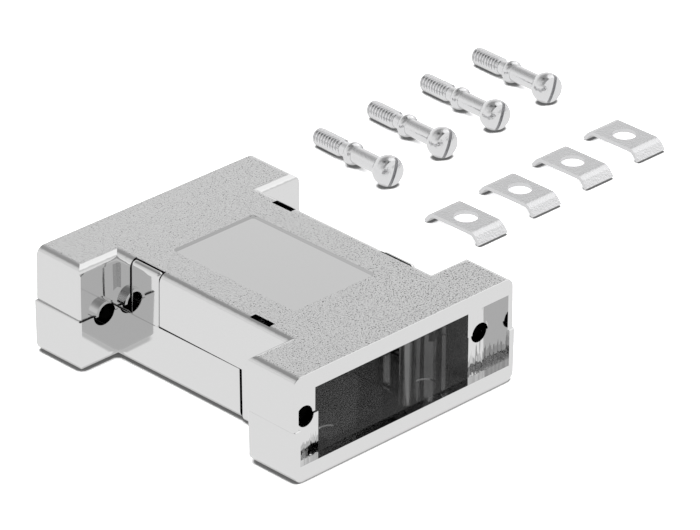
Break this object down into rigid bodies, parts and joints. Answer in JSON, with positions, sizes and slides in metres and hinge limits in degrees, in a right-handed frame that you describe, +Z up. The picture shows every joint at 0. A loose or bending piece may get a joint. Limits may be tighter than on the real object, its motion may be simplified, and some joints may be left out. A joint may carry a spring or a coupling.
{
  "type": "d-sub hood",
  "caption": "Metal-plated adapter hood in two snap-together halves, with a D-sub connector seat at each end, shown with its loose slotted jackscrews and spring clips.",
  "frame": {"origin": "on the table, under the middle of the hood", "axes": "+X across the hood towards the loose fasteners, -Y out of the front opening, +Z up"},
  "size_m": [0.1118, 0.0736, 0.0162],
  "materials": {
    "plated_shell": "bright metal plating on moulded plastic, spark-eroded grain on the top and base",
    "nickel_screw": "nickel-plated steel",
    "steel_clip": "tumbled bright sheet steel"
  },
  "bodies": {
    "root": {"lower_shell": "plated_shell", "upper_shell": "plated_shell", "jackscrew_1": "nickel_screw", "jackscrew_2": "nickel_screw", "jackscrew_3": "nickel_screw", "jackscrew_4": "nickel_screw", "clip_1": "steel_clip", "clip_2": "steel_clip", "clip_3": "steel_clip", "clip_4": "steel_clip"}
  },
  "joints": []
}
